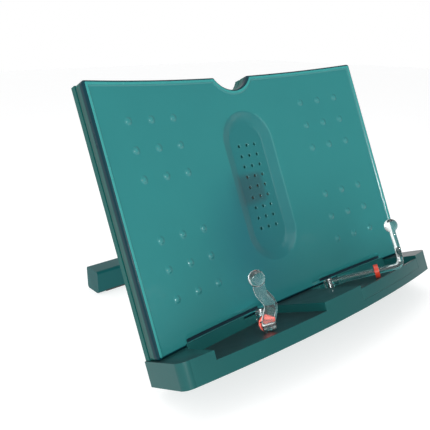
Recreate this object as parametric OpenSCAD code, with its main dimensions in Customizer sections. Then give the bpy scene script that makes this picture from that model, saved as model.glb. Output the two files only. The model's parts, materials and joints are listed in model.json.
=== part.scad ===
// Folding reading and drawing stand: a hollow, gently curved board on a deep ledge, with two
// swivelling page clips and a rear leg on a friction hinge. Millimetres, +Z up, front towards -Y.
// The origin is the middle of the rubber grip strip under the base, on the surface it stands on.

/* [Board] */
// Width of the board
panel_w = 340; // [300:1:380]
// Height of the board above the ledge
panel_h = 226; // [200:1:260]
// Thickness of the board, front shell and back cover together
panel_t = 19.5; // [17:0.5:24]
// Radius of the board's hollow front face
panel_r = 880; // [700:10:1200]
// Lean of the board back from upright
lean = 24; // [20:0.5:28]
// Wall thickness of the moulded shells
wall = 2.6; // [2:0.1:3]

/* [Ledge] */
// Reach of the ledge in front of the board, at its middle
ledge_reach = 65.6; // [60:0.2:72]
// Radius of the ledge's bowed front edge
ledge_r = 775; // [700:5:900]
// Height of the ledge
ledge_h = 21.2; // [19:0.2:26]
// Depth of the two clip pockets below the ledge's top
pocket_d = 7.6; // [7.4:0.1:8.4]
// Inner and outer end of each pocket, from the middle
pocket_in = 26; // [20:1:32]
pocket_out = 142; // [136:1:150]

/* [Grip pattern] */
// Pitch of the raised grip dots
dot_pitch = 25; // [20:1:28]
// Raised height of a dot
dot_h = 1.6; // [1:0.1:2]
// Pitch of the small vent holes in the oval
vent_pitch = 10.4; // [9:0.2:12]

/* [Clips] */
// Length of a clip's lever, from its pivot to its post
lever_l = 74; // [70:1:78]
// Width of the clip's flat bar
bar_w = 11; // [10:0.2:11.4]
// Thickness of the clip's flat bar
bar_t = 5.6; // [5:0.2:5.8]
// Height of the ball's middle above the ledge's top
ball_v = 41; // [39:0.5:56]
// Radius of the ball on the post
ball_r = 6.75; // [6:0.25:7]
// Swing of the left lever from the board's face, as set
clip_swing_left = 53; // [12:1:90]
// Swing of the right lever, as set
clip_swing_right = 50; // [12:1:53]

/* [Leg] */
// Height of the leg's hinge up the board
hinge_v = 114; // [108:1:118]
// Opening angle of the leg from its folded place
leg_open = 68.5; // [67:0.5:71]
// Length of the leg's foot bar
foot_w = 226; // [180:2:240]
// Height of the foot bar
foot_h = 26; // [22:1:30]
// Depth of the foot bar
foot_d = 24; // [18:1:26]

/* [Hidden] */
$fn = 48;
big_fn = 360;                        // the board's and the ledge's very large radii
eps = 0.01;
gap = 0.3;                           // clearance between moving parts
run_fit = 0.06;                      // radial clearance of a pin that turns in its bore

half_w = panel_w / 2;
front_t = 12.6;                      // depth of the front shell
board_y = 4;                         // board's front lower middle, behind the origin
board_z = 28.6;                      // and above the surface
edge_y = -(panel_r - sqrt(panel_r * panel_r - half_w * half_w));

notch_r = 26;                        // finger notch in the top edge
notch_v = panel_h + notch_r - 13;
oval_v = 115;                        // middle of the oval recess
oval_d = 3.9;                        // its depth
oval_r = 31.5;                       // its outer and inner radius
oval_r2 = 20.5;
oval_half = 44;                      // half of its straight stretch
vent_r = 1.6;
dot_r = 3.5;
dot_ball = (dot_r * dot_r + dot_h * dot_h) / (2 * dot_h);
dot_us = [85, 85 + dot_pitch, 85 + 2 * dot_pitch];
dot_vs = [39.3, 39.3 + dot_pitch, 39.3 + 2 * dot_pitch,
          140.8, 140.8 + dot_pitch, 140.8 + 2 * dot_pitch];

ledge_half = 171.5;                    // half length of the ledge
ledge_corner = 9;                    // radius of its front corners
ledge_cy = -(ledge_reach - ledge_r); // centre of the bowed front edge
corner_x = ledge_half - ledge_corner;
corner_y = ledge_cy - sqrt(pow(ledge_r - ledge_corner, 2) - corner_x * corner_x);
rim_w = 3;                           // raised rim round the board's face
rim_h = 0.9;
lip_t = 1.6;                         // upstand behind each pocket, against the board
lip_h = 2.8;
lip_from = 68;
groove_v = 3;                        // shadow groove above each pocket
groove_h = 2.8;
gate_t = 2.6;                        // strip that closes the right pocket's front
gate_h = 14;
gate_top = 3.3;                      // its top edge, below the ledge's

screw_r = 1.5;
cover_screw_at = [for (s = [-1, 1], p = [[150, 205], [150, 60], [60, 205], [60, 30]]) [s * p[0], p[1]]];
base_screw_at = [[-158, -16], [158, -16], [0, -40]];

clip_u = 50;                         // clip pivot, from the middle
clip_w = 7.2;                        // and in front of the board
clip_pin_r = 2;
eye_r = 5.2;
bar_v = -2.9;                        // underside of the lever, just clear of the right pocket's strip
ring_at = 0.66 * lever_l;
ring_r = 6.9;
ring_t = 4.4;
post_bow = 5;                        // sideways bow of the post
post_bow_from = 4;
post_bow_to = 32;

hinge_w = 25;                        // hinge axis behind the board's front face
hinge_r = 2.5;
ear_t = 1.6;                         // bracket ear
ear_u = 9.2;                         // inner face of an ear
ear_r = 7;
knuckle_r = 5;
stem_w = 30;
stem_t = 10;
leaf_l = 34;
leaf_t = 1.6;
plug_w = 22;
plug_t = 6;
plug_l = 14;
leg_tilt = leg_open - lean;          // the leg's slope from upright, at rest
hinge_y = board_y + sin(lean) * hinge_v + cos(lean) * hinge_w;
hinge_z = board_z + cos(lean) * hinge_v - sin(lean) * hinge_w;
foot_s = (hinge_z - stem_t / 2 * sin(leg_tilt)) / cos(leg_tilt);
foot_y = hinge_y + foot_s * sin(leg_tilt) - stem_t / 2 * cos(leg_tilt);
foot_cut = 14;                       // the stem's full width stops this far short
pad_h = 2;
grip_w = 240;
grip_d = 10;

teal = [0.10, 0.46, 0.44];
clear = [0.75, 0.88, 0.86];
steel = [0.55, 0.53, 0.50];
rubber = [0.06, 0.06, 0.06];
red = [0.85, 0.16, 0.08];

// Board's own frame: x along it, y into it from its front face, z up its face
module on_board() translate([0, board_y, board_z]) rotate([-lean, 0, 0]) children();

// Leg's own frame: z from the hinge to the foot, y away from the board when folded
module on_leg() translate([0, hinge_y, hinge_z]) rotate([180 + leg_tilt, 0, 0]) mirror([0, 1, 0]) children();

// Curved slab between two depths behind the board's front face
module slab(d0, d1, half, v0, v1) intersection() {
    difference() {
        translate([0, -panel_r, v0]) cylinder(r = panel_r + d1, h = v1 - v0, $fn = big_fn);
        translate([0, -panel_r, v0 - 1]) cylinder(r = panel_r + d0, h = v1 - v0 + 2, $fn = big_fn);
    }
    translate([-half, -40, v0]) cube([2 * half, 80, v1 - v0]);
}

module across(x, v, r, y0, y1) translate([x, y0, v]) rotate([-90, 0, 0]) cylinder(r = r, h = y1 - y0);

// On the board's front face at a distance from the middle, z straight into the board
module on_face(x, v) translate([0, -panel_r, v]) rotate([0, 0, -asin(x / panel_r)])
    translate([0, panel_r, 0]) rotate([-90, 0, 0]) children();

module sunk(x, v, r, d0, d1) on_face(x, v) translate([0, 0, d0]) cylinder(r = r, h = d1 - d0);

// Upright stadium prism or, with two radii, its sloped form
module stadium(r0, r1, y0, y1) {
    for (s = [-1, 1]) translate([0, y0, oval_v + s * oval_half]) rotate([-90, 0, 0])
        cylinder(r1 = r0, r2 = r1, h = y1 - y0);
    translate([0, 0, oval_v - oval_half]) linear_extrude(2 * oval_half)
        polygon([[-r0, y0], [r0, y0], [r1, y1], [-r1, y1]]);
}

module front_panel() {
    color(teal) on_board() difference() {
        union() {
            difference() {
                slab(0, front_t, half_w, 0, panel_h);
                difference() {
                    slab(wall, front_t + 1, half_w - wall, wall, panel_h - wall);
                    across(0, notch_v, notch_r + wall, -40, 40);
                }
            }
            difference() {
                slab(-rim_h, wall / 2, half_w, 0, panel_h);
                difference() {
                    slab(-rim_h - 1, wall, half_w - rim_w, -1, panel_h - rim_w);
                    across(0, notch_v, notch_r + rim_w, -40, 40);
                }
            }
            stadium(oval_r + 2, oval_r + 2, 1, oval_d + wall);
            for (s = [-1, 1], u = dot_us, v = dot_vs) on_face(s * u, v) dot();
            for (p = cover_screw_at) sunk(p[0], p[1], 4, wall / 2, front_t);
        }
        across(0, notch_v, notch_r, -40, 40);
        stadium(oval_r, oval_r2, -eps, oval_d);
        for (i = [-1:1], j = [-4:4])
            across(i * vent_pitch, oval_v + j * vent_pitch, vent_r, -1, oval_d + wall + 1);
        for (p = cover_screw_at) sunk(p[0], p[1], screw_r, wall + 1, 20);
        for (i = [-1, 1], j = [-1, 1])
            across(i * vent_pitch / 2, oval_v + j * vent_pitch / 2, 1.1, oval_d + 0.8, 20);
        for (s = [-1, 1]) groove(s);
    }
}

// Raised grip dot: a low dome
module dot() rotate([180, 0, 0]) rotate_extrude() intersection() {
    translate([0, dot_h - dot_ball]) circle(r = dot_ball);
    translate([0, -1.2]) square([6, 4]);
}

// Shallow groove across the face, above a pocket
module groove(s) intersection() {
    slab(-1, wall - 0.8, half_w, groove_v, groove_v + groove_h);
    translate([s > 0 ? pocket_in + 7 : -pocket_out + 4, -40, groove_v - 1])
        cube([pocket_out - pocket_in - 11, 80, groove_h + 2]);
}

module back_cover() {
    color(teal) on_board() difference() {
        union() {
            difference() {
                slab(front_t + 0.1, panel_t, half_w, 0, panel_h);
                difference() {
                    slab(front_t, panel_t - wall, half_w - wall, wall, panel_h - wall);
                    across(0, notch_v, notch_r + wall, -40, 40);
                }
                difference() {
                    slab(front_t, front_t + 1.2, half_w + 1, -1, panel_h + 1);
                    slab(front_t - 1, front_t + 2, half_w - 1, 1, panel_h - 1);
                }
            }
            for (s = [-1, 1]) slab_rib(s * 40, 20, 200);
            for (s = [-1, 1]) slab_rib(s * 105, 12, panel_h - 12);
            for (p = cover_screw_at) sunk(p[0], p[1], 4.4, front_t + 0.15, panel_t - 1);
        }
        across(0, notch_v, notch_r, -40, 40);
        for (p = cover_screw_at) {
            sunk(p[0], p[1], screw_r + 0.2, 8, 30);
            sunk(p[0], p[1], 3.2, panel_t - 2.4, 30);
        }
        translate([-13.6, 5, hinge_v - 15]) cube([27.2, 30, 30]);
    }
}

// Stiffening rib inside the back cover
module slab_rib(x, v0, v1) intersection() {
    slab(front_t + 2, panel_t - 1, half_w, v0, v1);
    translate([x - 1, -40, v0]) cube([2, 80, v1 - v0]);
}

// Outline of the ledge, inset by d, in plan
module ledge_plan(d) intersection() {
    translate([0, ledge_cy]) circle(r = ledge_r - d, $fn = big_fn);
    translate([0, -panel_r]) circle(r = panel_r + panel_t - d, $fn = big_fn);
    union() {
        translate([-ledge_half + d, corner_y]) square([2 * (ledge_half - d), 80]);
        translate([-corner_x, -80]) square([2 * corner_x, 100]);
        for (s = [-1, 1]) translate([s * corner_x, corner_y]) circle(r = ledge_corner - d);
    }
}

module ledge_block(d, v0, v1) translate([0, 0, v0]) linear_extrude(v1 - v0) ledge_plan(d);

// Floor space of a pocket, from the board's face out past the ledge's front
module pocket(s, grow, v0, v1) intersection() {
    translate([s > 0 ? pocket_in - grow : -pocket_out - grow, -100, v0])
        cube([pocket_out - pocket_in + 2 * grow, 140, v1 - v0]);
    translate([0, -panel_r, v0]) cylinder(r = panel_r + grow - 0.2, h = v1 - v0, $fn = big_fn);
}

module ledge_tray() {
    color(teal) on_board() {
        for (s = [-1, 1]) lip(s);
        difference() {
            union() {
                difference() {
                    ledge_block(0, -ledge_h, -0.1);
                    difference() {
                        ledge_block(wall, -ledge_h - 1, -wall);
                        for (s = [-1, 1]) pocket(s, wall, -pocket_d - wall, 0);
                    }
                }
                for (s = [-1, 1]) translate([s * clip_u, -clip_w, -pocket_d - 8]) cylinder(r = 5, h = 7);
                for (p = base_screw_at) translate([p[0], p[1], -ledge_h + wall + 0.2])
                    cylinder(r = 4, h = ledge_h - wall - 1);
            }
            for (s = [-1, 1]) intersection() {
                pocket(s, 0, -pocket_d, 5);
                ledge_block(-5, -ledge_h, 5);
            }
            gate_seat();
            for (s = [-1, 1]) translate([s * clip_u, -clip_w, -pocket_d - 9])
                cylinder(r = clip_pin_r, h = 10);
            for (p = base_screw_at) translate([p[0], p[1], -ledge_h]) cylinder(r = screw_r, h = 10);
        }
    }
}

// Upstand along the back of a pocket, just in front of the board
module lip(s) intersection() {
    slab(-lip_t - 0.2, -0.2, half_w, -pocket_d - 1, lip_h);
    translate([s > 0 ? lip_from : -pocket_out + 3, -60, -pocket_d - 2])
        cube([pocket_out - 3 - lip_from, 80, pocket_d + lip_h + 4]);
}

// Space of the strip that closes the right pocket's front
module gate_seat() intersection() {
    difference() {
        ledge_block(-5, -gate_h, 1);
        ledge_block(gate_t, -gate_h - 1, 2);
    }
    translate([pocket_in, -100, -gate_h]) cube([pocket_out - pocket_in, 80, gate_h + 1]);
}

module pocket_gate() {
    color(teal) on_board() intersection() {
        difference() {
            ledge_block(0, -gate_h + 0.05, -gate_top);
            ledge_block(gate_t - 0.05, -gate_h - 1, 2);
        }
        translate([pocket_in + 0.15, -100, -gate_h]) cube([pocket_out - pocket_in - 0.3, 80, gate_h + 1]);
    }
}

module base_plate() {
    color(teal) difference() {
        union() {
            on_board() ledge_block(wall + 0.15, -ledge_h, -ledge_h + wall);
            difference() {
                translate([-grip_w / 2 - 2, -grip_d / 2 - 2, pad_h]) cube([grip_w + 4, grip_d + 4, 20]);
                on_board() translate([-300, -100, -ledge_h]) cube([600, 200, 100]);
            }
        }
        on_board() for (p = base_screw_at) {
            translate([p[0], p[1], -ledge_h - 1]) cylinder(r = screw_r + 0.2, h = 10);
            translate([p[0], p[1], -ledge_h - 1]) cylinder(r = 3.2, h = 2.2);
        }
    }
}

module base_grip() {
    color(rubber) translate([-grip_w / 2, -grip_d / 2, 0]) cube([grip_w, grip_d, pad_h]);
}

module screw(len, head_r, head_h) {
    cylinder(r = head_r, h = head_h);
    translate([0, 0, -len]) cylinder(r = screw_r - 0.1, h = len + eps);
}

module cover_screws() {
    color(steel) on_board() for (p = cover_screw_at)
        on_face(p[0], p[1]) translate([0, 0, panel_t - 2.2]) screw(12, 2.9, 1.7);
}

module base_screws() {
    color(steel) on_board() for (p = base_screw_at)
        translate([p[0], p[1], -ledge_h + 1.1]) rotate([180, 0, 0]) screw(8, 2.9, 1.0);
}

module hinge_bracket() {
    color(steel) on_board() difference() {
        union() {
            translate([-13, oval_d + wall + 0.1, hinge_v - 14]) cube([26, 1.6, 28]);
            for (s = [-1, 1]) translate([s > 0 ? ear_u : -ear_u - ear_t, 0, 0]) {
                translate([0, oval_d + wall + 0.2, hinge_v - ear_r])
                    cube([ear_t, hinge_w - oval_d - wall - 0.2, 2 * ear_r]);
                translate([0, hinge_w, hinge_v]) rotate([0, 90, 0]) cylinder(r = ear_r, h = ear_t);
            }
        }
        translate([-20, hinge_w, hinge_v]) rotate([0, 90, 0]) cylinder(r = hinge_r, h = 40);
        for (i = [-1, 1], j = [-1, 1])
            across(i * vent_pitch / 2, oval_v + j * vent_pitch / 2, 1.2, 0, 12);
    }
}

module bracket_screws() {
    color(steel) on_board() for (i = [-1, 1], j = [-1, 1]) {
        across(i * vent_pitch / 2, oval_v + j * vent_pitch / 2, 1.05, oval_d + 1, oval_d + wall + 2);
        across(i * vent_pitch / 2, oval_v + j * vent_pitch / 2, 2, oval_d + wall + 1.75, oval_d + wall + 3);
    }
}

module hinge_pin() {
    color(steel) on_board() translate([-13, hinge_w, hinge_v]) rotate([0, 90, 0]) {
        cylinder(r = hinge_r, h = 26);
        translate([0, 0, -1.4]) cylinder(r = 4, h = 1.4);
        translate([0, 0, 26]) cylinder(r = 4, h = 1.4);
    }
}

module hinge_washers() {
    color(steel) on_board() for (s = [-1, 1])
        translate([s > 0 ? ear_u - 0.7 : -ear_u + 0.1, hinge_w, hinge_v]) rotate([0, 90, 0]) difference() {
            cylinder(r = 4.8, h = 0.6);
            translate([0, 0, -1]) cylinder(r = hinge_r, h = 3);
        }
}

// Steel knuckle on the pin, with a tongue that runs into the stem
module hinge_leaf() {
    knuckle = ear_u - 0.8;
    color(steel) on_leg() difference() {
        union() {
            translate([-knuckle, 0, 0]) rotate([0, 90, 0]) cylinder(r = knuckle_r, h = 2 * knuckle);
            translate([-knuckle, -leaf_t / 2, 0]) cube([2 * knuckle, leaf_t, leaf_l]);
        }
        translate([-20, 0, 0]) rotate([0, 90, 0]) cylinder(r = hinge_r + run_fit, h = 40);
        for (z = [18, 28]) translate([0, 0, z]) rotate([90, 0, 0])
            cylinder(r = screw_r + 0.1, h = 10, center = true);
    }
}

module leaf_screws() {
    color(steel) on_leg() for (z = [18, 28]) translate([0, stem_t / 2 - 1.7, z]) rotate([-90, 0, 0])
        screw(7, 2.9, 1.5);
}

// Moulded stem, ribbed and open along the side away from the board
module leg_stem() {
    plug_z = foot_s - plug_l;
    color(teal) on_leg() difference() {
        union() {
            translate([-stem_w / 2, -stem_t / 2, 9]) cube([stem_w, stem_t, foot_s - 9 - foot_cut]);
            translate([-plug_w / 2, -plug_t / 2, 40]) cube([plug_w, plug_t, foot_s - 40 - 3]);
        }
        difference() {
            translate([-stem_w / 2 + wall, -stem_t / 2 + wall, 40])
                cube([stem_w - 2 * wall, stem_t, foot_s - 40 - foot_cut - 2 * wall]);
            for (z = [62:24:134]) translate([-stem_w / 2, -stem_t / 2, z]) cube([stem_w, stem_t - 1, 1.8]);
            translate([-1, -stem_t / 2, 30]) cube([2, stem_t - 1, foot_s]);
        }
        translate([-20, 0, 0]) rotate([0, 90, 0]) cylinder(r = knuckle_r + gap, h = 40);
        translate([-ear_u + 0.8 - 0.05, -leaf_t / 2 - 0.05, 0])
            cube([2 * ear_u - 1.5, leaf_t + 0.1, leaf_l + 0.3]);
        for (z = [18, 28]) translate([0, 0, z]) rotate([-90, 0, 0]) {
            translate([0, 0, -4]) cylinder(r = screw_r, h = 10);
            translate([0, 0, stem_t / 2 - 1.8]) cylinder(r = 3.2, h = 5);
        }
    }
}

// Long foot bar with the stem's end plugged into its front, a rubber pad under each end
module foot_bar() {
    color(teal) difference() {
        translate([0, foot_y, 0]) difference() {
            foot_block();
            for (s = [-1, 1]) translate([s * (foot_w / 2 - 31) - 21, -1, -1])
                cube([42, foot_d + 2, pad_h + 1]);
            translate([-foot_w / 2 + 54, wall, -1]) cube([foot_w - 108, foot_d - 2 * wall, 7]);
        }
        on_leg() translate([-stem_w / 2 - 0.05, -stem_t / 2 - 0.05, 60])
            cube([stem_w + 0.1, stem_t + 0.1, foot_s - 60 - foot_cut + 0.05]);
        on_leg() translate([-plug_w / 2 - 0.05, -plug_t / 2 - 0.05, 60])
            cube([plug_w + 0.1, plug_t + 0.1, foot_s - 60 - 3 + 0.05]);
    }
}

// A long box with rounded long edges
module foot_block() {
    r = 3;
    translate([-foot_w / 2, r, 0]) cube([foot_w, foot_d - 2 * r, foot_h]);
    translate([-foot_w / 2, 0, r]) cube([foot_w, foot_d, foot_h - 2 * r]);
    for (y = [r, foot_d - r], z = [r, foot_h - r])
        translate([-foot_w / 2, y, z]) rotate([0, 90, 0]) cylinder(r = r, h = foot_w);
}

module foot_pads() {
    color(rubber) for (s = [-1, 1]) translate([s * (foot_w / 2 - 31) - 20.8, foot_y + 0.6, 0])
        cube([41.6, foot_d - 1.2, pad_h]);
}

// Clip frame: x along the lever from its pivot, z up its post
module on_clip(swing) on_board() translate([-clip_u, -clip_w, 0]) rotate([0, 0, 180 + swing]) children();
module left_clip() on_clip(clip_swing_left) children();
module right_clip() mirror([1, 0, 0]) on_clip(clip_swing_right) children();

function bow(h) = h < post_bow_from || h > post_bow_to ? 0
    : post_bow * pow(sin(180 * (h - post_bow_from) / (post_bow_to - post_bow_from)), 2);

// Clear arm: flat lever with a pivot eye, a rounded bend and a bowed post with a ball on top
module clip_arm() {
    inner = 3;
    outer = inner + bar_t;
    straight = lever_l + bar_t / 2 - outer;
    post_from = bar_v + outer;
    steps = 16;
    hs = [for (i = [0:steps]) post_from + i * (ball_v - post_from) / steps];
    half = bar_w / 2;
    difference() {
        union() {
            translate([0, 0, -pocket_d + 0.9]) cylinder(r = eye_r, h = bar_v + bar_t + pocket_d - 0.9);
            translate([0, 0, bar_v]) linear_extrude(bar_t)
                polygon([[0, -eye_r], [20, -half], [straight, -half],
                         [straight, half], [20, half], [0, eye_r]]);
            translate([straight, half, bar_v + outer]) rotate([90, 0, 0])
                intersection() {
                    difference() {
                        cylinder(r = outer, h = bar_w);
                        translate([0, 0, -1]) cylinder(r = inner, h = bar_w + 2);
                    }
                    translate([0, -outer, 0]) cube([outer, outer, bar_w]);
                }
            translate([lever_l - bar_t / 2, 0, 0]) rotate([90, 0, 90]) linear_extrude(bar_t)
                polygon(concat([for (h = hs) [bow(h) - half + 0.9 * (h - post_from) / 40, h]],
                               [for (i = [steps:-1:0])
                                   [bow(hs[i]) + half - 0.9 * (hs[i] - post_from) / 40, hs[i]]]));
            translate([lever_l, 0, ball_v]) sphere(r = ball_r);
        }
        translate([0, 0, -20]) cylinder(r = clip_pin_r + run_fit, h = 40);
    }
}

module clip_arm_left() { color(clear) left_clip() clip_arm(); }
module clip_arm_right() { color(clear) right_clip() clip_arm(); }

// Red ring pressed round the lever; it clears the pocket floor
module clip_ring() translate([ring_at - ring_t / 2, 0, bar_v + bar_t / 2]) rotate([0, 90, 0]) difference() {
    cylinder(r = ring_r, h = ring_t);
    translate([-bar_t / 2, -bar_w / 2, -1]) cube([bar_t, bar_w, ring_t + 2]);
}

module clip_ring_left() { color(red) left_clip() clip_ring(); }
module clip_ring_right() { color(red) right_clip() clip_ring(); }

// Steel rivet that the arm swivels on
module clip_pin() {
    translate([0, 0, -pocket_d - 8]) cylinder(r = clip_pin_r, h = bar_v + bar_t + pocket_d + 8.3);
    translate([0, 0, bar_v + bar_t + 0.2]) cylinder(r = 3.6, h = 1.3);
}

module clip_pin_left() { color(steel) left_clip() clip_pin(); }
module clip_pin_right() { color(steel) right_clip() clip_pin(); }

// Washer between the arm's eye and the pocket floor
module clip_washer() translate([0, 0, -pocket_d + 0.05]) difference() {
    cylinder(r = 5.5, h = 0.7);
    translate([0, 0, -1]) cylinder(r = clip_pin_r, h = 3);
}

module clip_washer_left() { color(steel) left_clip() clip_washer(); }
module clip_washer_right() { color(steel) right_clip() clip_washer(); }

front_panel();
back_cover();
ledge_tray();
base_plate();
pocket_gate();
base_grip();
cover_screws();
base_screws();
hinge_bracket();
bracket_screws();
hinge_pin();
hinge_washers();
hinge_leaf();
leaf_screws();
leg_stem();
foot_bar();
foot_pads();
clip_arm_left();
clip_arm_right();
clip_ring_left();
clip_ring_right();
clip_pin_left();
clip_pin_right();
clip_washer_left();
clip_washer_right();
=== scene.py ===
import json
import math

import bmesh
import bpy
import numpy as np
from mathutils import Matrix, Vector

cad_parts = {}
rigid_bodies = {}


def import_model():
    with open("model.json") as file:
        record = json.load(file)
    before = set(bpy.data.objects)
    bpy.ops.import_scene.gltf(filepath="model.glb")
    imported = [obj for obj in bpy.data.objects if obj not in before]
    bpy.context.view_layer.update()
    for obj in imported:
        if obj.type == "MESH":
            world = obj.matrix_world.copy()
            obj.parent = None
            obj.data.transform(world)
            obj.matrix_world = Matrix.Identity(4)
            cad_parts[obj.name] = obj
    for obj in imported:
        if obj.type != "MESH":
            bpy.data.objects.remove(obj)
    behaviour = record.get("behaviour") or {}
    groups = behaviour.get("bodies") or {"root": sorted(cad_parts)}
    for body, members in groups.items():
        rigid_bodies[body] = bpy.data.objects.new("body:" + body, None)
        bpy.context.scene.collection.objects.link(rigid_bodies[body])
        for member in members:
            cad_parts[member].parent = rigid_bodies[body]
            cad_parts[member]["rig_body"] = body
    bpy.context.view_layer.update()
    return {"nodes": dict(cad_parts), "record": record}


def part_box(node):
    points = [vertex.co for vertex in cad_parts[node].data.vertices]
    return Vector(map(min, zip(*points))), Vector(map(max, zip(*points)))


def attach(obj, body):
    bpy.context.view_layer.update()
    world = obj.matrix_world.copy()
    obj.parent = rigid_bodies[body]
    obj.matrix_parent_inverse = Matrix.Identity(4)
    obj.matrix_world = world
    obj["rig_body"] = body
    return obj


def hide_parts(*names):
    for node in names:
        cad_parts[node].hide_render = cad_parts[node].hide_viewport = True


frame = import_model()
nodes = frame["nodes"]
joints = {joint["name"]: joint for joint in frame["record"]["behaviour"]["joints"]}
scene = bpy.context.scene

# The view: a desk's edge seen from a little above and from the reader's left, through a normal
# lens that stands 600 mm from a point behind the middle of the board.
aim = np.array([-0.0047, 0.1141, 0.0874])
view_azimuth = math.radians(-40.8)
view_rise = math.radians(18.3)
view_distance = 0.600
away = np.array([math.sin(view_azimuth) * math.cos(view_rise),
                 -math.cos(view_azimuth) * math.cos(view_rise),
                 math.sin(view_rise)])
lens = bpy.data.cameras.new("view")
lens.lens = 46.07
lens.sensor_width = 36.0
lens.clip_start = 0.01
camera = bpy.data.objects.new("view", lens)
camera.location = aim + view_distance * away
camera.rotation_euler = (math.pi / 2 - view_rise, 0.0, view_azimuth)
scene.collection.objects.link(camera)
scene.camera = camera


# The studio: a pale matt floor with a faint glow of its own, in a white room that darkens towards
# its upper right. A small bright lamp without shadows stands at the reader's left, and weak broad
# ones at the right and overhead.
def add_node(tree, kind, values=None, **settings):
    """A shader node with its properties set first and then the values of its inputs."""
    made = tree.nodes.new(kind)
    for name, setting in settings.items():
        setattr(made, name, setting)
    for socket, value in (values or {}).items():
        made.inputs[socket].default_value = value
    return made


def ramped(tree, value, start, end, low=0.0, top=1.0, kind="LINEAR"):
    """A value mapped from start..end to low..top and held flat beyond them."""
    made = add_node(tree, "ShaderNodeMapRange", {"From Min": start, "From Max": end,
                                                 "To Min": low, "To Max": top},
                    interpolation_type=kind)
    tree.links.new(value, made.inputs["Value"])
    return made.outputs["Result"]


scene.view_settings.view_transform = "Standard"
room = bpy.data.worlds.new("room")
room.use_nodes = True
air = room.node_tree
heading = add_node(air, "ShaderNodeTexCoord")
dark_side = add_node(air, "ShaderNodeVectorMath", {1: (0.62, -0.48, 0.62)}, operation="DOT_PRODUCT")
wall_tone = add_node(air, "ShaderNodeMix", {"A": (1.0, 1.0, 1.0, 1.0), "B": (0.25, 0.26, 0.27, 1.0)},
                     data_type="RGBA")
air.links.new(heading.outputs["Generated"], dark_side.inputs[0])
air.links.new(ramped(air, dark_side.outputs["Value"], 0.30, 0.95, kind="SMOOTHSTEP"),
              wall_tone.inputs["Factor"])
air.links.new(wall_tone.outputs["Result"], air.nodes["Background"].inputs["Color"])
scene.world = room

lamps = {"key": ((-0.60, -0.95, 0.50), 0.16, 9.0),
         "right": ((0.45, -1.0, 0.80), 0.5, 0.8),
         "top": ((0.0, 0.3, 1.3), 0.7, 2.0)}
for name, (place, size, watts) in lamps.items():
    lamp = bpy.data.lights.new(name, "AREA")
    lamp.size = size
    lamp.energy = watts
    lamp.use_shadow = name != "key"
    holder = bpy.data.objects.new(name, lamp)
    holder.location = place
    inward = (aim - place) / np.linalg.norm(aim - place)
    holder.rotation_euler = (math.pi - math.acos(inward[2]), 0.0,
                             math.atan2(inward[1], inward[0]) - math.pi / 2)
    scene.collection.objects.link(holder)

floor_half = 4.0
floor_mesh = bpy.data.meshes.new("floor")
floor_mesh.from_pydata([(-floor_half, -floor_half, 0), (floor_half, -floor_half, 0),
                        (floor_half, floor_half, 0), (-floor_half, floor_half, 0)],
                       [], [(0, 1, 2, 3)])
floor = bpy.data.objects.new("floor", floor_mesh)
scene.collection.objects.link(floor)
paper = bpy.data.materials.new("floor_paper")
paper.use_nodes = True
for socket, value in (("Base Color", (0.55, 0.55, 0.55, 1.0)), ("Emission Color", (1.0, 1.0, 1.0, 1.0)),
                      ("Emission Strength", 0.55), ("Roughness", 0.9)):
    paper.node_tree.nodes["Principled BSDF"].inputs[socket].default_value = value
floor_mesh.materials.append(paper)


# The board's front shell: one injection moulding of tinted, slightly cloudy styrene. Its face is
# a shallow cylinder with a raised rim round three sides, a finger notch, grip dots, a dished oval
# with 27 vents and two shadow grooves above the pockets, and its edge turns back into a low wall.
board_origin = np.array([0.0, 0.004, 0.0286])
lean = math.atan2(joints["clip_left_swivel"]["axis"][1], joints["clip_left_swivel"]["axis"][2])
face_radius = 0.880
face_half = 0.170
face_height = 0.226
shell_deep = 0.0126
shell_wall = 0.0022
turn_radius = 0.0028
notch_radius = 0.026
notch_up = 0.239
rim_rise = 0.0009
rim_side = (0.1646, 0.1658)
rim_top = (0.2202, 0.2218)
dot_radius = 0.0035
dot_rise = 0.0016
dots_across = (0.085, 0.110, 0.135)
dots_up = (0.0393, 0.0643, 0.0893, 0.1408, 0.1658, 0.1908)
groove_deep = 0.0016
groove_ends = (0.033, 0.138)
groove_rows = (0.0026, 0.0034, 0.0054, 0.0062)
oval_up = 0.115
oval_half = 0.044
oval_reach = 0.0320
oval_deep = 0.0039
oval_side = 0.0115
vent_pitch = 0.0104
vent_radius = 0.0016
vents_low = oval_up - 4.5 * vent_pitch
vents_high = oval_up + 4.5 * vent_pitch
quarter = math.pi / 2


def worked(tree, operation, *terms):
    """The result of a Math node, fed with sockets or plain numbers."""
    made = add_node(tree, "ShaderNodeMath", operation=operation)
    for slot, term in enumerate(terms):
        if isinstance(term, bpy.types.NodeSocket):
            tree.links.new(term, made.inputs[slot])
        else:
            made.inputs[slot].default_value = term
    return made.outputs["Value"]


def noise(tree, where, scale, detail=2.0):
    """Cloudy noise read at the given places, with the given number of blobs to their unit."""
    made = add_node(tree, "ShaderNodeTexNoise", {"Scale": scale, "Detail": detail})
    tree.links.new(where, made.inputs["Vector"])
    return made.outputs["Fac"]


def blended(tree, factor, first, second):
    """Two colours mixed by a factor: each is a socket or a plain colour."""
    made = add_node(tree, "ShaderNodeMix", data_type="RGBA")
    tree.links.new(factor, made.inputs["Factor"])
    for name, colour in (("A", first), ("B", second)):
        if isinstance(colour, bpy.types.NodeSocket):
            tree.links.new(colour, made.inputs[name])
        else:
            made.inputs[name].default_value = (*colour, 1.0)
    return made.outputs["Result"]


def over_base(tree, factor, shade):
    """Mixes a shade into whatever already feeds the skin's base colour."""
    base = tree.nodes["Principled BSDF"].inputs["Base Color"]
    tree.links.new(blended(tree, factor, base.links[0].from_socket, shade), base)


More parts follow.
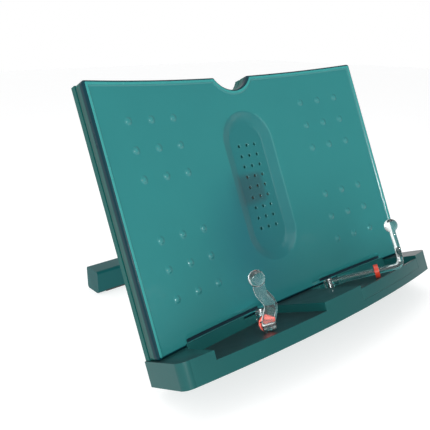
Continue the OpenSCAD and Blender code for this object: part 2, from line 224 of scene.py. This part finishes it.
def moulded_group():
    """Moulded plastic's colour, roughness and height: broad clouds mix the tint and the deep
    colour, a finer haze dulls the gloss, and a fine grain is the height."""
    made = bpy.data.node_groups.new("moulded", "ShaderNodeTree")
    for label, way, kind in (("Where", "INPUT", "Vector"), ("Tint", "INPUT", "Color"),
                             ("Deep", "INPUT", "Color"), ("Gloss", "INPUT", "Float"),
                             ("Color", "OUTPUT", "Color"), ("Roughness", "OUTPUT", "Float"),
                             ("Height", "OUTPUT", "Float")):
        made.interface.new_socket(label, in_out=way, socket_type="NodeSocket" + kind)
    given = made.nodes.new("NodeGroupInput").outputs
    out = made.nodes.new("NodeGroupOutput").inputs
    cloud = ramped(made, noise(made, given["Where"], 9.0, 3.0), 0.3, 0.7, top=0.35)
    haze = noise(made, given["Where"], 55.0, 5.0)
    made.links.new(blended(made, cloud, given["Tint"], given["Deep"]), out["Color"])
    made.links.new(worked(made, "MULTIPLY_ADD", haze, 0.16, given["Gloss"]), out["Roughness"])
    made.links.new(noise(made, given["Where"], 2600.0), out["Height"])
    return made


moulded = moulded_group()


def plastic(name, tint, deep, gloss, bump=0.05, edge_light_and_wear=(0.06, 0.33, 0.31), above=None, shine=0.45):
    """The moulded group under a clear skin, paler at its edges: painted light where light shines through
    thin edges, and wear where they are rubbed.

    Tinted styrene carries light in from its sides, so faces that look up can take a painted shade, a
    darker colour mixed in by the height of the object's normal."""
    made = bpy.data.materials.new(name)
    made.use_nodes = True
    tree = made.node_tree
    link = tree.links.new
    skin = tree.nodes["Principled BSDF"]
    where = add_node(tree, "ShaderNodeTexCoord")
    edge = add_node(tree, "ShaderNodeNewGeometry")
    body = add_node(tree, "ShaderNodeGroup", {"Tint": (*tint, 1.0), "Deep": (*deep, 1.0),
                                              "Gloss": gloss}, node_tree=moulded)
    link(where.outputs["Object"], body.inputs["Where"])
    link(body.outputs["Color"], skin.inputs["Base Color"])
    link(body.outputs["Roughness"], skin.inputs["Roughness"])
    if above:
        upward = add_node(tree, "ShaderNodeSeparateXYZ")
        link(where.outputs["Normal"], upward.inputs["Vector"])
        over_base(tree, ramped(tree, upward.outputs["Z"], 0.60, 0.85), above)
    # Painted edge light and wear: a paler colour mixed in where the surface is pointy.
    over_base(tree, ramped(tree, edge.outputs["Pointiness"], 0.52, 0.60, top=0.55), edge_light_and_wear)
    relief = add_node(tree, "ShaderNodeBump", {"Strength": bump, "Distance": 0.0002})
    link(body.outputs["Height"], relief.inputs["Height"])
    link(relief.outputs["Normal"], skin.inputs["Normal"])
    skin.inputs["Specular IOR Level"].default_value = shine
    skin.inputs["Coat Weight"].default_value = 0.2 * shine
    skin.inputs["Coat Roughness"].default_value = 0.10
    return made


def board_axes(tree):
    """Each point's place in the board's own leaning frame: X across and Z up the face."""
    where = add_node(tree, "ShaderNodeTexCoord")
    flat = add_node(tree, "ShaderNodeMapping", vector_type="TEXTURE")
    flat.inputs["Location"].default_value = tuple(board_origin)
    flat.inputs["Rotation"].default_value = (-lean, 0.0, 0.0)
    axes = add_node(tree, "ShaderNodeSeparateXYZ")
    tree.links.new(where.outputs["Object"], flat.inputs["Vector"])
    tree.links.new(flat.outputs["Vector"], axes.inputs["Vector"])
    return axes.outputs


def painted_shadow_box(tree, axes, across, up, half_wide, half_high, soft, shade, strength):
    """Paints a soft box of shade on the face, the shadow of what stands behind the tinted wall: the mask
    is the product of two smooth steps down across the box's edges."""
    masks = []
    for axis, middle, half in (("X", across, half_wide), ("Z", up, half_high)):
        off = worked(tree, "ABSOLUTE", worked(tree, "SUBTRACT", axes[axis], middle))
        masks.append(ramped(tree, off, half + soft, half - soft, kind="SMOOTHSTEP"))
    both = worked(tree, "MULTIPLY", *masks)
    over_base(tree, worked(tree, "MULTIPLY", both, strength), shade)


def painted_dish_shade(tree, axes, shade, strength):
    """Paints shade into the dished oval: the mask is a smooth step of the distance to its core segment,
    hypot(across, max(|up - middle| - half, 0))."""
    off = worked(tree, "ABSOLUTE", worked(tree, "SUBTRACT", axes["Z"], oval_up))
    past = worked(tree, "MAXIMUM", worked(tree, "SUBTRACT", off, oval_half), 0.0)
    pair = add_node(tree, "ShaderNodeCombineXYZ")
    reach = add_node(tree, "ShaderNodeVectorMath", operation="LENGTH")
    tree.links.new(axes["X"], pair.inputs["X"])
    tree.links.new(past, pair.inputs["Y"])
    tree.links.new(pair.outputs["Vector"], reach.inputs[0])
    inside = ramped(tree, reach.outputs["Value"], oval_reach + 0.0002, oval_reach - 0.0010,
                    top=strength, kind="SMOOTHSTEP")
    over_base(tree, inside, shade)


def stations(*spans):
    """Grid lines from (end, count) spans, each evenly divided from the end of the one before."""
    lines = [spans[0][0]]
    for end, count in spans[1:]:
        lines += list(np.linspace(lines[-1], end, count + 1)[1:])
    return lines


def over_dot(middle, lead=4):
    """Spans that are fine over one grip dot, after a coarser lead up to it."""
    return [(middle - 0.0042, lead), (middle - 0.0034, 1), (middle + 0.0034, 8), (middle + 0.0042, 1)]


def face_lines():
    """Grid lines across and up the face, finer over the grooves, dots, vents and rim."""
    half = stations((0.0, 0), (1.5 * vent_pitch, 18), (0.0335, 18),
                    *(span for middle in dots_across for span in over_dot(middle)),
                    (0.1644, 6), (0.1660, 5), (face_half - turn_radius, 2))
    up = stations((turn_radius, 0), *zip(groove_rows[1:], (3, 2, 3)), *over_dot(dots_up[0], 7),
                  *over_dot(dots_up[1])[:3], (vents_low, 1), (vents_high, 108),
                  *over_dot(dots_up[4])[1:], *over_dot(dots_up[5]),
                  (0.2190, 8), (0.2222, 8), (face_height - turn_radius, 2))
    return np.array([-x for x in half[:0:-1]] + half), np.array(up)


def turned_back(lines):
    """Places of the grid lines with the turned edge added at both ends, and how far past the
    flat face each is: radians round the quarter turn, then metres straight back added to it."""
    arc = np.linspace(0, quarter, 6)[1:]
    past = np.concatenate([arc, quarter + np.array([0.0034, shell_deep - turn_radius])])
    places = np.concatenate([np.full(len(past), lines[0]), lines, np.full(len(past), lines[-1])])
    return places, np.concatenate([-past[::-1], np.zeros(len(lines)), past])


def smooth_step(x, start, end):
    """0 before start, 1 after end, and 3 t^2 - 2 t^3 between them."""
    t = np.clip((x - start) / (end - start), 0, 1)
    return t * t * (3 - 2 * t)


def vent_field(u, v):
    """Places in the vent field, a mask of the field and one of the holes: in each square of the
    pitch, square rings become circles towards the middle, and inside the last one is the hole."""
    field = (np.abs(u) < 1.5 * vent_pitch - 1e-7) & (v > vents_low + 1e-7) & (v < vents_high - 1e-7)
    cell_u = (np.floor(u / vent_pitch + 0.5 + 1e-9)) * vent_pitch
    cell_v = (np.floor((v - oval_up) / vent_pitch + 0.5 + 1e-9)) * vent_pitch + oval_up
    a = (u - cell_u) / (vent_pitch / 2)
    b = (v - cell_v) / (vent_pitch / 2)
    ring = np.maximum(np.abs(a), np.abs(b))
    roundness = np.interp(ring, [0, 0.5, 0.67, 1], [1, 1, 0.75, 0])
    reach = np.interp(ring, [0, 0.5, 0.67, 1], [0, vent_radius, 0.0023, vent_pitch / 2])
    size = np.hypot(a, b) + 1e-12
    big = np.maximum(ring, 1e-12)
    return (cell_u + reach * (roundness * a / size + (1 - roundness) * a / big),
            cell_v + reach * (roundness * b / size + (1 - roundness) * b / big),
            field, field & (ring < 0.5 - 1e-6))


def notched(u, v):
    """Heights up the face with the finger notch: a row e below the top follows the circle of
    radius notch_radius + e about the notch's middle, and the drop fades out 30 mm down."""
    below = face_height - v
    arch = np.sqrt(np.maximum((notch_radius + below) ** 2 - u ** 2, 1e-9))
    drop = np.maximum(face_height - below - (notch_up - arch), 0)
    drop[np.abs(u) > notch_radius + below] = 0
    return v - drop * (1 - smooth_step(below, 0.004, 0.030))


def dots_and_grooves(u, v, u_edge, v_edge):
    """Height of the dots, sphere caps sqrt(B^2 - r^2) - (B - rise), less the two grooves, each a
    product of smooth steps along and across it."""
    height = np.zeros_like(u)
    ball = (dot_radius ** 2 + dot_rise ** 2) / (2 * dot_rise)
    for side in (-1, 1):
        for x in dots_across:
            for y in dots_up:
                off = (u_edge - side * x) ** 2 + (v_edge - y) ** 2
                cap = np.sqrt(np.maximum(ball ** 2 - off, 0)) - (ball - dot_rise)
                height += np.where(off < dot_radius ** 2, cap, 0)
        start, end = sorted(side * x for x in groove_ends)
        height -= groove_deep * (smooth_step(v, *groove_rows[:2]) * (1 - smooth_step(v, *groove_rows[2:]))
                                 * smooth_step(u, start, start + 0.004)
                                 * (1 - smooth_step(u, end - 0.004, end)))
    return height


def front_skin():
    """Outer skin as a grid over (across u, up v), with y into the board: the face is the cylinder
    y = sqrt((R - h + d)^2 - u^2) - R of height h, the turned edge goes out by r sin t and back by
    d = r (1 - cos t), then straight back, and the oval is a sloped dish by distance to its core.

    Zones are the materials' order: 0 face, 1 rim with a painted highlight, 2 turned edge in painted shade,
    3 grooves in painted shadow, 4 back of the wall."""
    flat_u, flat_v = face_lines()
    u, past_u = turned_back(flat_u)
    v, past_v = turned_back(flat_v)
    u, v = np.meshgrid(u, v, indexing="ij")
    past_u, past_v = np.meshgrid(past_u, past_v, indexing="ij")
    along = np.maximum(np.abs(past_u), np.abs(past_v))
    length = np.hypot(past_u, past_v) + 1e-12
    out = turn_radius * np.sin(np.minimum(along, quarter)) / length
    deep = turn_radius * (1 - np.cos(np.minimum(along, quarter))) + np.maximum(along - quarter, 0)
    near_u, near_v, field, hole = vent_field(u, v)
    u_edge = np.where(field, near_u, u + out * past_u)
    v_edge = notched(u_edge, np.where(field, near_v, v + out * past_v))

    rim = np.maximum(smooth_step(np.abs(u), *rim_side), smooth_step(v, *rim_top))
    height = rim_rise * rim + dots_and_grooves(u, v, u_edge, v_edge)
    y = np.sqrt((face_radius - height + deep) ** 2 - u_edge ** 2) - face_radius
    core = np.hypot(u_edge, np.maximum(np.abs(v_edge - oval_up) - oval_half, 0))
    slope = 0.0045 * np.clip((oval_reach - core) / oval_side, 0, 1) - 0.0003
    y = np.where((core < oval_reach) & (along == 0), np.maximum(y, np.minimum(slope, oval_deep)), y)

    zone = np.where(along > 0.2, 2, np.where(rim > 0.97, 1, 0))
    zone[along > quarter + 0.003] = 4
    zone[(v > turn_radius) & (v < groove_rows[3] - 0.0001) & (np.abs(u) > groove_ends[0] + 0.001)
         & (np.abs(u) < groove_ends[1] - 0.001)] = 3
    return u_edge, y, v_edge, hole, zone


def board_places(points):
    """Frame places of (across, into the board, up the face): turned by the lean, then moved."""
    c, s = math.cos(lean), math.sin(lean)
    return np.stack([points[:, 0], c * points[:, 1] + s * points[:, 2],
                     -s * points[:, 1] + c * points[:, 2]], 1) + board_origin


board_face = plastic("board_face", (0.022, 0.190, 0.190), (0.018, 0.156, 0.165), 0.12)
face_tree = board_face.node_tree
face_axes = board_axes(face_tree)
# Painted shadows of the leg and the hinge bracket behind the tinted wall, and painted shade in the dished
# oval.
painted_shadow_box(face_tree, face_axes, 0.010, 0.020, 0.120, 0.050, 0.065, (0.010, 0.115, 0.122), 0.50)
painted_shadow_box(face_tree, face_axes, -0.035, 0.066, 0.030, 0.052, 0.048, (0.006, 0.090, 0.125), 0.60)
painted_shadow_box(face_tree, face_axes, -0.020, 0.108, 0.014, 0.018, 0.016, (0.012, 0.070, 0.085), 0.55)
painted_shadow_box(face_tree, face_axes, -0.009, 0.1135, 0.0165, 0.0145, 0.004, (0.035, 0.040, 0.045), 0.62)
painted_dish_shade(face_tree, face_axes, (0.008, 0.100, 0.115), 0.46)
# The rim's top takes a paler colour, a painted highlight.
board_rim_highlight = plastic("board_rim_highlight", (0.035, 0.270, 0.258), (0.030, 0.230, 0.222), 0.18)
# The turned edge is dark, a painted shade.
board_edge_shade = plastic("board_edge_shade", (0.003, 0.030, 0.042), (0.003, 0.024, 0.034), 0.22,
                     edge_light_and_wear=(0.004, 0.05, 0.06), shine=0.10)
# The grooves are near black, a painted shadow.
board_groove_shadow = plastic("board_groove_shadow", (0.008, 0.022, 0.032), (0.006, 0.018, 0.024), 0.4,
                       edge_light_and_wear=(0.008, 0.03, 0.04), shine=0.1)
board_back = plastic("board_back", (0.004, 0.090, 0.080), (0.004, 0.070, 0.068), 0.34, 0.12,
                     edge_light_and_wear=(0.008, 0.100, 0.092), shine=0.12)

skin_u, skin_y, skin_v, skin_hole, skin_zone = front_skin()
index = np.arange(skin_u.size).reshape(skin_u.shape)
quads = np.stack([index[:-1, :-1], index[1:, :-1], index[1:, 1:], index[:-1, 1:]], -1).reshape(-1, 4)
quads = quads[~skin_hole.ravel()[quads].any(1)]
used = np.unique(quads)
fresh = np.zeros(skin_u.size, int)
fresh[used] = np.arange(len(used))
front_points = board_places(np.stack([skin_u.ravel(), skin_y.ravel(), skin_v.ravel()], 1)[used])
front_mesh = bpy.data.meshes.new("board_front")
front_mesh.from_pydata(front_points.tolist(), [], fresh[quads].tolist())
front_mesh.polygons.foreach_set("use_smooth", np.ones(len(front_mesh.polygons), bool))
for material in (board_face, board_rim_highlight, board_edge_shade, board_groove_shadow, board_back):
    front_mesh.materials.append(material)
front_mesh.polygons.foreach_set("material_index", skin_zone.ravel()[quads].min(1).astype(np.int32))
front = bpy.data.objects.new("board_front", front_mesh)
scene.collection.objects.link(front)
shell = front.modifiers.new("wall", "SOLIDIFY")
shell.thickness = shell_wall
shell.offset = -1.0
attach(front, nodes["front_panel"]["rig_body"])
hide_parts("front_panel")


# The board's back shell: a second moulding of the same styrene, closed on the front one along a
# shadow gap and held by screws from behind. Every outer edge has the mould's small radius.
def softened(node, name, radius, spread=28):
    """A copy of a CAD piece with doubles merged, flat faces joined and the edges that turn by
    more than the spread, in degrees, rounded to a radius."""
    mesh = nodes[node].data.copy()
    mesh.materials.clear()
    work = bmesh.new()
    work.from_mesh(mesh)
    bmesh.ops.remove_doubles(work, verts=work.verts, dist=2e-6)
    bmesh.ops.dissolve_limit(work, angle_limit=math.radians(0.5), verts=work.verts, edges=work.edges)
    for face in work.faces:
        face.smooth = True
    work.to_mesh(mesh)
    work.free()
    piece = bpy.data.objects.new(name, mesh)
    scene.collection.objects.link(piece)
    bevel = piece.modifiers.new("radius", "BEVEL")
    bevel.width = radius
    bevel.segments = 3
    bevel.limit_method = "ANGLE"
    bevel.angle_limit = math.radians(spread)
    even = piece.modifiers.new("even", "WEIGHTED_NORMAL")
    even.keep_sharp = True
    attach(piece, nodes[node]["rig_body"])
    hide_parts(node)
    return piece


back = softened("back_cover", "board_back", 0.0009)
back.data.materials.append(board_back)

# The ledge: one deep tray moulding with a bowed front, two clip pockets and an upstand behind
# each, a strip that closes the right pocket, and a plate screwed on from below.
# Its faces that look up take a painted shade, darker and greyer than its sides.
ledge_plastic = plastic("ledge_plastic", (0.008, 0.076, 0.074), (0.007, 0.058, 0.062), 0.24,
                        edge_light_and_wear=(0.014, 0.120, 0.115), above=(0.022, 0.038, 0.042), shine=0.2)
for node, name, radius in (("ledge_tray", "ledge", 0.0014), ("pocket_gate", "pocket_strip", 0.0003),
                           ("base_plate", "ledge_base", 0.0008)):
    piece = softened(node, name, radius)
    piece.data.materials.append(ledge_plastic)

# The leg: a ribbed stem moulding plugged into a long foot bar, both of the same plastic in a
# darker batch.
leg_plastic = plastic("leg_plastic", (0.004, 0.075, 0.078), (0.004, 0.058, 0.064), 0.30,
                      edge_light_and_wear=(0.010, 0.095, 0.098), shine=0.12)
for node, name, radius in (("leg_stem", "stem", 0.0007), ("foot_bar", "foot", 0.0010)):
    piece = softened(node, name, radius)
    piece.data.materials.append(leg_plastic)

# The rubber: a grip strip under the ledge and a pad under each end of the foot bar, die cut from
# sheet and glued on.
rubber = plastic("rubber", (0.020, 0.020, 0.021), (0.012, 0.012, 0.013), 0.62, 0.5, (0.06, 0.06, 0.06))
for node, name in (("base_grip", "grip_strip"), ("foot_pads", "foot_rubbers")):
    piece = softened(node, name, 0.0003)
    piece.data.materials.append(rubber)

# The page clips: each arm is one clear polycarbonate moulding, a flat lever with a pivot eye, a
# rounded bend and a bowed post with a ball on top. Its gate and ejector marks are polished off.
lever_length = 0.074
bar_wide = 0.011
bar_thick = 0.0056
lever_under = -0.0029
lever_start = 0.0032
bend_inside = 0.003
bow_out = 0.005
bow_low = 0.004
bow_span = 0.028
post_taper = 0.0009
post_height = 0.040
ball_up = 0.041
ball_radius = 0.00675
eye_radius = 0.0052
eye_under = -0.0067
eye_soft = 0.0008
bore_radius = 0.00206
arm_voxel = 0.00042


def tube_mesh(centres, sides, ups, half_wide, half_thick, around=28, power=4.0):
    """Closed bar along a path: at each station a superellipse |a|^p + |b|^p = 1 is spanned by
    the side and up vectors, and both ends are capped by a fan."""
    turn = np.linspace(0, 2 * np.pi, around, endpoint=False)
    a = np.sign(np.cos(turn)) * np.abs(np.cos(turn)) ** (2 / power)
    b = np.sign(np.sin(turn)) * np.abs(np.sin(turn)) ** (2 / power)
    points = (centres[:, None, :] + half_wide[:, None, None] * a[None, :, None] * sides[:, None, :]
              + half_thick[:, None, None] * b[None, :, None] * ups[:, None, :])
    count = len(centres)
    ring = np.arange(around)
    low = (np.arange(count - 1)[:, None] * around + ring).ravel()
    low_next = (np.arange(count - 1)[:, None] * around + (ring + 1) % around).ravel()
    quads = np.stack([low, low_next, low_next + around, low + around], 1).tolist()
    first = count * around
    last = (count - 1) * around
    caps = [[(i + 1) % around, i, first] for i in ring.tolist()]
    caps += [[last + i, last + (i + 1) % around, first + 1] for i in ring.tolist()]
    return np.vstack([points.reshape(-1, 3), centres[0], centres[-1]]), quads + caps


def revolved(profile, around=48):
    """Closed solid of revolution about z: the (radius, height) loop is swept in equal steps."""
    turn = np.linspace(0, 2 * np.pi, around, endpoint=False)
    loop = np.array(profile)
    points = np.stack([loop[None, :, 0] * np.cos(turn)[:, None],
                       loop[None, :, 0] * np.sin(turn)[:, None],
                       np.broadcast_to(loop[None, :, 1], (around, len(loop)))], -1)
    n = len(loop)
    i, j = np.meshgrid(np.arange(around), np.arange(n), indexing="ij")
    i2, j2 = (i + 1) % around, (j + 1) % n
    quads = np.stack([i * n + j, i2 * n + j, i2 * n + j2, i * n + j2], -1).reshape(-1, 4)
    return points.reshape(-1, 3), quads.tolist()


def arm_shape(lever_count=39, corner_count=20, post_count=59):
    """The arm in its own frame, x along the lever and z up the post: the lever's centre line
    turns up through a quarter circle, and the post bows sideways by a squared sine."""
    bend = bend_inside + bar_thick / 2
    level = lever_under + bar_thick / 2
    turn = np.linspace(0, quarter, corner_count)
    lever_x = np.linspace(lever_start, lever_length - bend, lever_count + 1)[:-1]
    post_z = np.linspace(level + bend, ball_up, post_count + 1)[1:]
    bow = bow_out * np.sin(np.pi * np.clip((post_z - bow_low) / bow_span, 0, 1)) ** 2
    lever = np.stack([lever_x, np.zeros(lever_count), np.full(lever_count, level)], 1)
    corner = np.stack([lever_length - bend + bend * np.sin(turn), np.zeros(corner_count),
                       level + bend * (1 - np.cos(turn))], 1)
    post = np.stack([np.full(post_count, lever_length), bow, post_z], 1)
    path = np.vstack([lever, corner, post])
    step = np.gradient(path, axis=0)
    step /= np.linalg.norm(step, axis=1)[:, None]
    up = np.stack([-step[:, 2], np.zeros(len(path)), step[:, 0]], 1)
    up /= np.linalg.norm(up, axis=1)[:, None]
    wide = np.full(len(path), bar_wide / 2)
    wide[-post_count:] -= post_taper * (post_z - post_z[0]) / post_height
    thick = np.full(len(path), bar_thick / 2)
    return tube_mesh(path, np.cross(up, step), up, wide, thick)


def ball_shape(rings=24):
    """A sphere as latitude rings, (r cos t, r sin t), between two poles."""
    turn = np.linspace(0, np.pi, rings + 2)[1:-1]
    level, reach = ball_radius * np.cos(turn), ball_radius * np.sin(turn)
    verts, faces = tube_mesh(
        np.stack([np.full(rings, lever_length), np.zeros(rings), ball_up + level], 1),
        np.tile([1.0, 0, 0], (rings, 1)), np.tile([0, 1.0, 0], (rings, 1)), reach, reach, 40, 2.0)
    verts[-2, 2] = ball_up + ball_radius
    verts[-1, 2] = ball_up - ball_radius
    return verts, [face[::-1] for face in faces]


def eye_shape():
    """The pivot eye: a bored boss whose two outer rims are quarter circles."""
    top = lever_under + bar_thick
    flat = eye_radius - eye_soft
    arc = np.linspace(0, quarter, 5)
    rim = [(flat + eye_soft * math.sin(t), top - eye_soft + eye_soft * math.cos(t)) for t in arc]
    foot = [(flat + eye_soft * math.cos(t), eye_under + eye_soft - eye_soft * math.sin(t)) for t in arc]
    loop = [(bore_radius, eye_under), (bore_radius, top)] + rim + foot
    return revolved(loop[::-1])


def fused(name, shapes, voxel):
    """Overlapping closed shapes made one skin by a fine voxel remesh, then relaxed."""
    verts, faces, start = [], [], 0
    for points, quads in shapes:
        verts.append(points)
        faces += [[start + i for i in face] for face in quads]
        start += len(points)
    mesh = bpy.data.meshes.new(name)
    mesh.from_pydata(np.vstack(verts).tolist(), [], faces)
    work = bmesh.new()
    work.from_mesh(mesh)
    bmesh.ops.recalc_face_normals(work, faces=work.faces)
    work.to_mesh(mesh)
    work.free()
    rough = bpy.data.objects.new(name, mesh)
    scene.collection.objects.link(rough)
    skin = rough.modifiers.new("fuse", "REMESH")
    skin.mode = "VOXEL"
    skin.voxel_size = voxel
    relax = rough.modifiers.new("relax", "SMOOTH")
    relax.iterations = 6
    relax.factor = 0.5
    bpy.context.view_layer.update()
    made = bpy.data.meshes.new_from_object(rough.evaluated_get(bpy.context.evaluated_depsgraph_get()))
    bpy.data.objects.remove(rough)
    made.name = name
    return made


def to_clip(points, side):
    """Frame places of points in a clip's own frame: turned by its swing, then by the lean, and
    moved to its pivot. The swing is the direction from the pivot to the clip's red ring."""
    pivot = np.array(joints[f"clip_{side}_swivel"]["pos_m"])
    low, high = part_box(f"clip_ring_{side}")
    tilt = np.array([[1, 0, 0], [0, math.cos(lean), math.sin(lean)], [0, -math.sin(lean), math.cos(lean)]])
    flat = tilt.T @ ((np.array(low) + np.array(high)) / 2 - pivot)
    swing = math.atan2(flat[1], flat[0])
    c, s = math.cos(swing), math.sin(swing)
    local = points * np.array([1.0, 1.0 if side == "left" else -1.0, 1.0])
    turned = np.stack([c * local[:, 0] - s * local[:, 1], s * local[:, 0] + c * local[:, 1],
                       local[:, 2]], 1)
    return turned @ tilt.T + pivot


clear = bpy.data.materials.new("clear_polycarbonate")
clear.use_nodes = True
clear_tree = clear.node_tree
clear_skin = clear_tree.nodes["Principled BSDF"]
clear_skin.inputs["Base Color"].default_value = (0.93, 0.98, 0.97, 1.0)
clear_skin.inputs["Transmission Weight"].default_value = 1.0
clear_skin.inputs["IOR"].default_value = 1.49
clear_where = add_node(clear_tree, "ShaderNodeTexCoord")
finger_marks = noise(clear_tree, clear_where.outputs["Object"], 140.0, 4.0)
clear_tree.links.new(ramped(clear_tree, finger_marks, 0.45, 0.75, 0.02, 0.14),
                     clear_skin.inputs["Roughness"])

arm_mesh = fused("arm", [arm_shape(), ball_shape(), eye_shape()], arm_voxel)
arm_points = np.empty(len(arm_mesh.vertices) * 3)
arm_mesh.vertices.foreach_get("co", arm_points)
arm_points = arm_points.reshape(-1, 3)
for side in ("left", "right"):
    mesh = arm_mesh.copy()
    mesh.name = f"page_arm_{side}"
    mesh.vertices.foreach_set("co", to_clip(arm_points, side).ravel())
    if side == "right":
        mesh.flip_normals()
    mesh.update()
    mesh.polygons.foreach_set("use_smooth", np.ones(len(mesh.polygons), bool))
    mesh.materials.clear()
    mesh.materials.append(clear)
    arm = bpy.data.objects.new(f"page_arm_{side}", mesh)
    scene.collection.objects.link(arm)
    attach(arm, f"clip_{side}")
    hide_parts(f"clip_arm_{side}")

# The red rings: one round each clip's lever, a small glossy moulding that is snapped on and
# grips the bar by its own spring.
red = plastic("red_ring", (0.56, 0.042, 0.018), (0.44, 0.028, 0.012), 0.2, 0.03, (0.62, 0.09, 0.05))
for side in ("left", "right"):
    ring = softened(f"clip_ring_{side}", f"red_ring_{side}", 0.0007)
    ring.data.materials.append(red)


# The metal: a friction hinge of plated strip behind the board, with its turned pin and washers,
# the clips' rivets and washers, and the screws that hold the shells, base, bracket and leaf.
def metal(name, tone, dull, rub):
    """Plated steel: streaks along X in roughness and height, and stains of 0.6 of its tone."""
    made = bpy.data.materials.new(name)
    made.use_nodes = True
    tree = made.node_tree
    link = tree.links.new
    skin = tree.nodes["Principled BSDF"]
    skin.inputs["Metallic"].default_value = 1.0
    where = add_node(tree, "ShaderNodeTexCoord")
    stretch = add_node(tree, "ShaderNodeMapping", {"Scale": (60.0, 1500.0, 1500.0)})
    relief = add_node(tree, "ShaderNodeBump", {"Strength": 0.15, "Distance": 0.0001})
    link(where.outputs["Object"], stretch.inputs["Vector"])
    streak = noise(tree, stretch.outputs["Vector"], 1.0)
    stain = noise(tree, where.outputs["Object"], 120.0)
    link(blended(tree, stain, tone, tuple(0.6 * c for c in tone)), skin.inputs["Base Color"])
    link(worked(tree, "MULTIPLY_ADD", streak, rub, dull), skin.inputs["Roughness"])
    link(streak, relief.inputs["Height"])
    link(relief.outputs["Normal"], skin.inputs["Normal"])
    return made


hinge_metal = metal("hinge_metal", (0.42, 0.37, 0.33), 0.30, 0.22)
zinc = metal("zinc", (0.66, 0.67, 0.68), 0.18, 0.18)
for finish, pieces in ((hinge_metal, ("hinge_bracket", "hinge_leaf", "hinge_pin")),
                       (zinc, ("hinge_washers", "bracket_screws", "leaf_screws", "cover_screws",
                               "base_screws", "clip_pin_left", "clip_pin_right",
                               "clip_washer_left", "clip_washer_right"))):
    for node in pieces:
        nodes[node].data.materials.clear()
        nodes[node].data.materials.append(finish)
